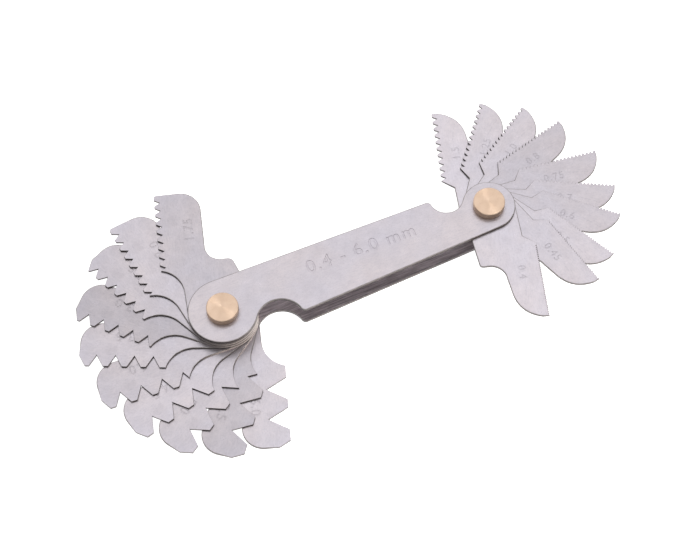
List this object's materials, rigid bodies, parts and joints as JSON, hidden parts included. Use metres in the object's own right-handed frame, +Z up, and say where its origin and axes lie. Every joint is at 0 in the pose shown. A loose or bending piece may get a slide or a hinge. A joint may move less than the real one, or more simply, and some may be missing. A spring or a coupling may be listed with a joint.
{
  "type": "screw thread pitch gauge",
  "caption": "Folding steel pitch gauge: toothed blades fan out on two brass rivets from an open case of two flat covers with finger notches, to match the pitch of a metric thread.",
  "frame": {"origin": "on the underside of the bottom cover, midway between the two rivets", "axes": "+X from the coarse rivet to the fine rivet, along the case; +Y across the case; +Z up through the stack, from the bottom cover to the rivet heads"},
  "size_m": [0.1072, 0.0557, 0.007],
  "materials": {
    "cover_steel": "satin, fine grain along the case",
    "blade_steel": "satin, fine grain",
    "brass": "turned, bright"
  },
  "bodies": {
    "case": {"bottom_cover": "cover_steel", "top_cover": "cover_steel", "coarse_rivet": "brass", "fine_rivet": "brass"},
    "blade_1_75mm": {"blade_1_75mm": "blade_steel"},
    "blade_2_00mm": {"blade_2_00mm": "blade_steel"},
    "blade_2_50mm": {"blade_2_50mm": "blade_steel"},
    "blade_3_00mm": {"blade_3_00mm": "blade_steel"},
    "blade_3_50mm": {"blade_3_50mm": "blade_steel"},
    "blade_4_00mm": {"blade_4_00mm": "blade_steel"},
    "blade_4_50mm": {"blade_4_50mm": "blade_steel"},
    "blade_5_00mm": {"blade_5_00mm": "blade_steel"},
    "blade_5_50mm": {"blade_5_50mm": "blade_steel"},
    "blade_6_00mm": {"blade_6_00mm": "blade_steel"},
    "blade_0_40mm": {"blade_0_40mm": "blade_steel"},
    "blade_0_45mm": {"blade_0_45mm": "blade_steel"},
    "blade_0_50mm": {"blade_0_50mm": "blade_steel"},
    "blade_0_60mm": {"blade_0_60mm": "blade_steel"},
    "blade_0_70mm": {"blade_0_70mm": "blade_steel"},
    "blade_0_75mm": {"blade_0_75mm": "blade_steel"},
    "blade_0_80mm": {"blade_0_80mm": "blade_steel"},
    "blade_1_00mm": {"blade_1_00mm": "blade_steel"},
    "blade_1_25mm": {"blade_1_25mm": "blade_steel"},
    "blade_1_50mm": {"blade_1_50mm": "blade_steel"}
  },
  "joints": [
    {"name": "blade_1_75mm_pivot", "type": "hinge", "parent": "case", "child": "blade_1_75mm", "pos_m": [-0.02735, 0, 0.00275], "axis": [0, 0, 1], "range_deg": [-94.5, 265.5]},
    {"name": "blade_2_00mm_pivot", "type": "hinge", "parent": "case", "child": "blade_2_00mm", "pos_m": [-0.02735, 0, 0.00275], "axis": [0, 0, 1], "range_deg": [-116.4, 243.6]},
    {"name": "blade_2_50mm_pivot", "type": "hinge", "parent": "case", "child": "blade_2_50mm", "pos_m": [-0.02735, 0, 0.00275], "axis": [0, 0, 1], "range_deg": [-134.3, 225.7]},
    {"name": "blade_3_00mm_pivot", "type": "hinge", "parent": "case", "child": "blade_3_00mm", "pos_m": [-0.02735, 0, 0.00275], "axis": [0, 0, 1], "range_deg": [-155.9, 204.1]},
    {"name": "blade_3_50mm_pivot", "type": "hinge", "parent": "case", "child": "blade_3_50mm", "pos_m": [-0.02735, 0, 0.00275], "axis": [0, 0, 1], "range_deg": [-175.5, 184.5]},
    {"name": "blade_4_00mm_pivot", "type": "hinge", "parent": "case", "child": "blade_4_00mm", "pos_m": [-0.02735, 0, 0.00275], "axis": [0, 0, 1], "range_deg": [-196.3, 163.7]},
    {"name": "blade_4_50mm_pivot", "type": "hinge", "parent": "case", "child": "blade_4_50mm", "pos_m": [-0.02735, 0, 0.00275], "axis": [0, 0, 1], "range_deg": [-215, 145]},
    {"name": "blade_5_00mm_pivot", "type": "hinge", "parent": "case", "child": "blade_5_00mm", "pos_m": [-0.02735, 0, 0.00275], "axis": [0, 0, 1], "range_deg": [-233.5, 126.5]},
    {"name": "blade_5_50mm_pivot", "type": "hinge", "parent": "case", "child": "blade_5_50mm", "pos_m": [-0.02735, 0, 0.00275], "axis": [0, 0, 1], "range_deg": [-253.2, 106.8]},
    {"name": "blade_6_00mm_pivot", "type": "hinge", "parent": "case", "child": "blade_6_00mm", "pos_m": [-0.02735, 0, 0.00275], "axis": [0, 0, 1], "range_deg": [-271.8, 88.2]},
    {"name": "blade_0_40mm_pivot", "type": "hinge", "parent": "case", "child": "blade_0_40mm", "pos_m": [0.02735, 0, 0.00275], "axis": [0, 0, 1], "range_deg": [-86, 274]},
    {"name": "blade_0_45mm_pivot", "type": "hinge", "parent": "case", "child": "blade_0_45mm", "pos_m": [0.02735, 0, 0.00275], "axis": [0, 0, 1], "range_deg": [-114.5, 245.5]},
    {"name": "blade_0_50mm_pivot", "type": "hinge", "parent": "case", "child": "blade_0_50mm", "pos_m": [0.02735, 0, 0.00275], "axis": [0, 0, 1], "range_deg": [-129, 231]},
    {"name": "blade_0_60mm_pivot", "type": "hinge", "parent": "case", "child": "blade_0_60mm", "pos_m": [0.02735, 0, 0.00275], "axis": [0, 0, 1], "range_deg": [-149.5, 210.5]},
    {"name": "blade_0_70mm_pivot", "type": "hinge", "parent": "case", "child": "blade_0_70mm", "pos_m": [0.02735, 0, 0.00275], "axis": [0, 0, 1], "range_deg": [-164.5, 195.5]},
    {"name": "blade_0_75mm_pivot", "type": "hinge", "parent": "case", "child": "blade_0_75mm", "pos_m": [0.02735, 0, 0.00275], "axis": [0, 0, 1], "range_deg": [-184, 176]},
    {"name": "blade_0_80mm_pivot", "type": "hinge", "parent": "case", "child": "blade_0_80mm", "pos_m": [0.02735, 0, 0.00275], "axis": [0, 0, 1], "range_deg": [-206.2, 153.8]},
    {"name": "blade_1_00mm_pivot", "type": "hinge", "parent": "case", "child": "blade_1_00mm", "pos_m": [0.02735, 0, 0.00275], "axis": [0, 0, 1], "range_deg": [-224, 136]},
    {"name": "blade_1_25mm_pivot", "type": "hinge", "parent": "case", "child": "blade_1_25mm", "pos_m": [0.02735, 0, 0.00275], "axis": [0, 0, 1], "range_deg": [-243, 117]},
    {"name": "blade_1_50mm_pivot", "type": "hinge", "parent": "case", "child": "blade_1_50mm", "pos_m": [0.02735, 0, 0.00275], "axis": [0, 0, 1], "range_deg": [-265.3, 94.7]}
  ]
}
